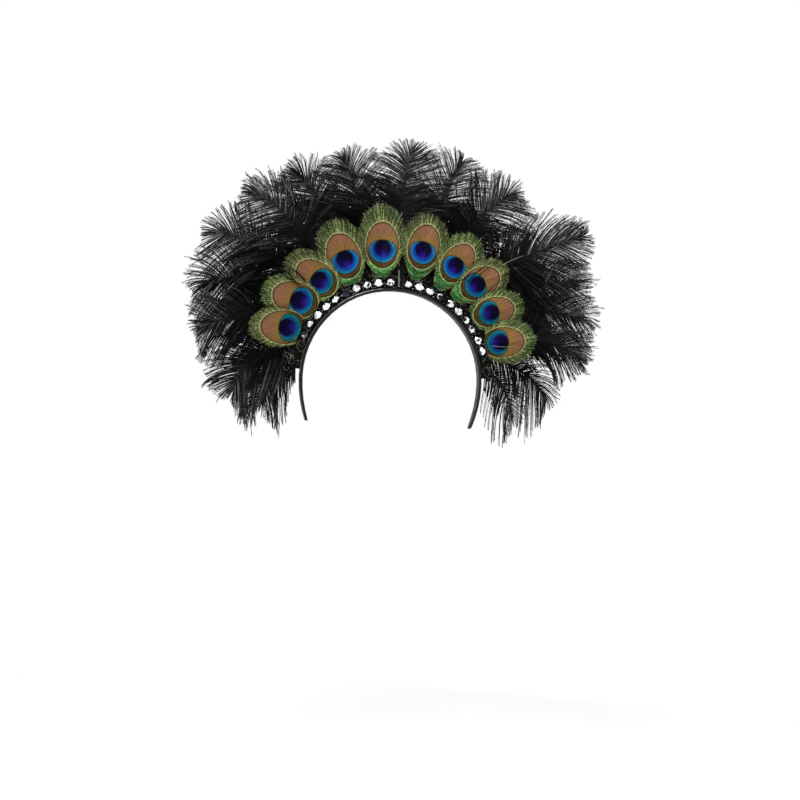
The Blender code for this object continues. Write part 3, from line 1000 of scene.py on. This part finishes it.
def leafArrays(row):
    # A closed thin leaf under the barbs: a grid bent onto the eye's face
    make = eyeMake
    bm = bmesh.new()
    wide, high = make["leafGrid"]
    bmesh.ops.create_grid(bm, x_segments=wide, y_segments=high, size=1.0)
    bmesh.ops.triangulate(bm, faces=bm.faces)
    bmesh.ops.solidify(bm, geom=bm.faces[:], thickness=1.0)
    points, faces = templateArrays(bm, 1.0)
    faces = faces[np.lexsort(faces.T)]  # the rim comes in any order
    foot, top = eyeFoot(row), row["reach"] * mm
    share = np.sin((points[:, 1] + 1) / 2 * math.pi / 2)
    above = blend(foot, top * make["leafShare"], share)
    across = points[:, 0] * eyeHalfWidth(row, above) * make["leafShare"]
    depth = (points[:, 2] - points[:, 2].mean()) * make["leafThickness"]
    laid = eyePoints(row, across, above)
    laid[:, 1] -= depth
    return laid, faces, np.abs(points[:, 0])


def makeEyes(material):
    make = eyeMake
    templates = [makeBarb(eyeBarb, seed) for seed in make["barbSeeds"]]
    for number, row in enumerate(eyeRows):
        chance = np.random.default_rng(make["seed"] + number)
        bundle = Bundle()
        leaf, leafFaces, leafReach = leafArrays(row)
        bundle.add(leaf, leafFaces, tone=make["leafTone"], reach=leafReach)
        for sideSign in (1, -1):
            lines = eyeLines(row, sideSign, chance)
            bundle.lay(templates, lines, chance.uniform(0, 1, len(lines)))
        for key in ("teal", "olive"):
            bundle.values[key] = [np.full(bundle.count, row[key])]
        name = f"peacock_eye_{number + 1:02d}"
        piece, points, faces = bundle.makePiece(f"{name}_barbs", material)
        centre, up, right = eyeAxes(row)
        flat = points[:, (0, 2)] - centre
        spread = np.stack([flat @ right, flat @ up], -1) / mm / row["pattern"]
        spread = spread / eyeFinish["span"] + 0.5
        layer = piece.data.uv_layers.new(name="eyePattern")
        layer.data.foreach_set("uv", spread[faces.ravel()].ravel())
        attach(piece, "root")
        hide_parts(name)


# Jet beads between the stones

beadMake = {
    "rowMiddle": 2.0,  # degrees
    "first": 5.3,
    "pitch": 6.9,
    "perSide": 10,  # stones
    "rows": ((84.3, 0.9), (87.6, 0.75), (90.9, 0.9)),  # radii of row and bead, mm
    "seat": 0.9,  # of the bead's radius, its middle off the strip
    "jitter": 0.25,  # degrees along the row
    "seed": 7,
}


def makeBeads(material):
    make = beadMake
    bm = bmesh.new()
    chance = np.random.default_rng(make["seed"])
    gaps = [make["rowMiddle"] + side * (make["first"] + make["pitch"] * (index + 0.5))
            for side in (-1, 1) for index in range(make["perSide"] - 1)]
    for degrees in gaps:
        for rowRadius, beadRadius in make["rows"]:
            aside = chance.uniform(-make["jitter"], make["jitter"])
            flat = onArch(rowRadius * mm, degrees + aside)
            depth = -(arch["stripThickness"] / 2 + beadRadius * mm * make["seat"])
            turn = Matrix.Rotation(chance.uniform(0, math.pi), 4, "Y")
            place = Matrix.Translation((flat[0], depth, flat[1])) @ turn
            bmesh.ops.create_icosphere(bm, subdivisions=1, radius=beadRadius * mm, matrix=place)
    piece = addMesh(bm, "jet_beads", material)
    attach(piece, "root")


# Stray barbs across the eyes and fine curls on the backing strip

strayRows = named(
    "startX startZ endX endZ bow tone thick",
    # mm; the bow lies to the strand's left; thick is a share of a plume barb's
    (-108.2, 17.5, -83.0, 3.5, 2.0, 0.25, 1.9),
    (-110.8, 13.6, -90.5, 4.6, 1.0, 0.3, 1.9),
    (-109.0, 10.8, -100.5, 8.9, 0.3, 0.2, 1.6),
    (-99.4, 5.8, -85.5, -4.8, 0.8, 0.2, 2.0),
    (-95.5, 5.2, -79.8, -7.4, 0.6, 0.25, 1.8),
    (-92.5, 12.4, -82.4, 3.2, 0.4, 0.3, 1.7),
    (55.3, 11.8, 82.7, 29.3, -1.0, 0.2, 1.7),
    (64.0, 12.0, 75.6, 24.8, 0.6, 0.2, 1.7),
    (70.4, 14.3, 82.5, 26.0, 0.6, 0.3, 1.7),
    (82.9, 4.3, 99.0, 17.0, 1.5, 0.3, 1.4),
    (94.6, 29.0, 113.5, 38.6, 0.5, 1.4, 0.65),
    (88.9, -44.4, 112.0, -42.8, -1.0, 1.4, 0.5),
)

strayMake = {
    "seed": 11,
    "sides": 3,
    "cuts": 12,
    "flatness": 0.8,
    "depth": 14.4 * mm,  # in front of the eyes
    "endDepth": 11.0 * mm,
    "fluffCount": 170,
    "fluffAngles": (-86, 86),
    "fluffRadii": (83 * mm, 97 * mm),
    "fluffDepths": (1.4 * mm, 5.0 * mm),
    "fluffLengths": (4 * mm, 15 * mm),
    "fluffTurn": 95,  # degrees of curl, at random
    "fluffTones": (1.18, 1.42),
    "fluffThickness": 0.34,
    "stations": 13,
}


def strayLines():
    make = strayMake
    s = np.linspace(0, 1, make["stations"])[:, None]
    arc = np.sin(s * math.pi)
    lines = []
    for row in strayRows:
        start = np.array((row["startX"], row["startZ"])) * mm
        end = np.array((row["endX"], row["endZ"])) * mm
        along = (end - start) / np.linalg.norm(end - start)
        left = np.array((-along[1], along[0]))
        flat = start + (end - start) * s + left * row["bow"] * mm * arc
        depth = -blend(make["endDepth"], make["depth"], arc[:, 0] ** 0.5)
        lines.append(toPoints(flat, depth))
    return np.stack(lines)


def fluffLines(chance):
    # Short curls that leave the strip's face and come back to it
    make = strayMake
    count = make["fluffCount"]
    radii = chance.uniform(*make["fluffRadii"], count)
    start = onArch(radii, chance.uniform(*make["fluffAngles"], count))
    heading = chance.uniform(0, 2 * math.pi, count)[:, None]
    curl = np.radians(chance.normal(0, make["fluffTurn"], count))[:, None]
    step = chance.uniform(*make["fluffLengths"], count)[:, None] / (make["stations"] - 1)
    angle = heading + curl * np.linspace(0, 1, make["stations"] - 1)[None]
    flat = walk(start, np.stack([np.cos(angle), np.sin(angle)], -1), step[..., None])
    rise = np.sin(np.linspace(0, 1, make["stations"]) * math.pi)[None]
    farthest = chance.uniform(*make["fluffDepths"], count)[:, None]
    return toPoints(flat, -blend(make["fluffDepths"][0], farthest, rise))


def makeStrays(material):
    make = strayMake
    chance = np.random.default_rng(make["seed"])
    length = plumeBarb["length"]
    bm = bmesh.new()
    makeRod(bm, length, plumeBarb["radii"], make["sides"], make["cuts"], make["flatness"])
    strand = templateArrays(bm, length)
    bundle = Bundle()
    tones = np.array([row["tone"] for row in strayRows])
    thickness = np.array([row["thick"] for row in strayRows])
    bundle.lay([strand], strayLines(), tones, thickness)
    lines = fluffLines(chance)
    tones = chance.uniform(*make["fluffTones"], len(lines))
    bundle.lay([strand], lines, tones, make["fluffThickness"])
    piece, _, _ = bundle.makePiece("stray_barbs", material)
    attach(piece, "root")


# Camera, light and floor

studio = {
    "lens": 85,
    "sensor": 36,
    "azimuth": -9,  # degrees; the camera stands to the fan's left
    "roll": 3,  # the fan leans clockwise by this
    "aim": (9.6 * mm, 0, -97.3 * mm),
    "frameWidth": 720 * mm,
    "floorDrop": 0.46,
    "floorRadius": 0.7,
    "floorSides": 96,
    "worldStrength": 1.0,
    "lights": {
        # place, size in metres, power in watts
        "key": ((-0.6, -1.4, 1.2), 0.6, 16),
        "fill": ((1.3, -1.2, 0.3), 1.2, 3),
    },
}


def makeCamera():
    azimuth = math.radians(studio["azimuth"])
    roll = math.radians(studio["roll"])
    back = Vector((math.sin(azimuth), -math.cos(azimuth), 0))
    level = Vector((math.cos(azimuth), math.sin(azimuth), 0))
    right = level * math.cos(roll) + Vector((0, 0, 1)) * math.sin(roll)
    up = back.cross(right)
    camera = bpy.data.cameras.new("camera")
    camera.lens = studio["lens"]
    camera.sensor_width = studio["sensor"]
    holder = addObject("camera", camera)
    distance = studio["frameWidth"] * studio["lens"] / studio["sensor"]
    turn = Matrix((right, up, back)).transposed().to_4x4()
    holder.matrix_world = Matrix.Translation(Vector(studio["aim"]) + back * distance) @ turn
    bpy.context.scene.camera = holder


def makeLight(name, place, size, power):
    lamp = bpy.data.lights.new(name, "AREA")
    lamp.energy = power
    lamp.size = size
    holder = addObject(name, lamp)
    holder.location = place
    aim = Vector(studio["aim"]) - Vector(place)
    holder.rotation_euler = aim.to_track_quat("-Z", "Y").to_euler()


def makeStudio():
    world = bpy.data.worlds.new("studio")
    world.use_nodes = True
    background = world.node_tree.nodes["Background"]
    background.inputs["Color"].default_value = (1, 1, 1, 1)
    background.inputs["Strength"].default_value = studio["worldStrength"]
    bpy.context.scene.world = world
    bpy.context.scene.view_settings.view_transform = "Standard"
    for name, values in studio["lights"].items():
        makeLight(name, *values)
    bm = bmesh.new()
    bmesh.ops.create_circle(
        bm, cap_ends=True, segments=studio["floorSides"], radius=studio["floorRadius"])
    bmesh.ops.translate(bm, verts=bm.verts, vec=(0, 0, -studio["floorDrop"]))
    floor = addMesh(bm, "floor", makeCloudLook("pale_floor", floorFinish))


def finishNodes():
    # Stones, band and backing strip keep their shapes and get their finishes
    felt = makeCloudLook("black_felt", feltFinish)
    looks = {"band": makeSatinLook(), "fan_base": felt, "stone": makeStoneLook()}
    for name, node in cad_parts.items():
        look = looks.get(name) or (looks["stone"] if name.startswith("stone") else None)
        if look:
            for slot in node.material_slots:
                slot.material = look


makeStudio()
makeCamera()
finishNodes()
print("studio and nodes done")
plumeLook = makePlumeLook()
makePlumes(plumeLook)
makeStrays(plumeLook)
print("plumes done")
makeEyes(makeEyeLook())
print("eyes done")
makeBeads(makeCloudLook("jet_bead", beadFinish))
print("beads done")
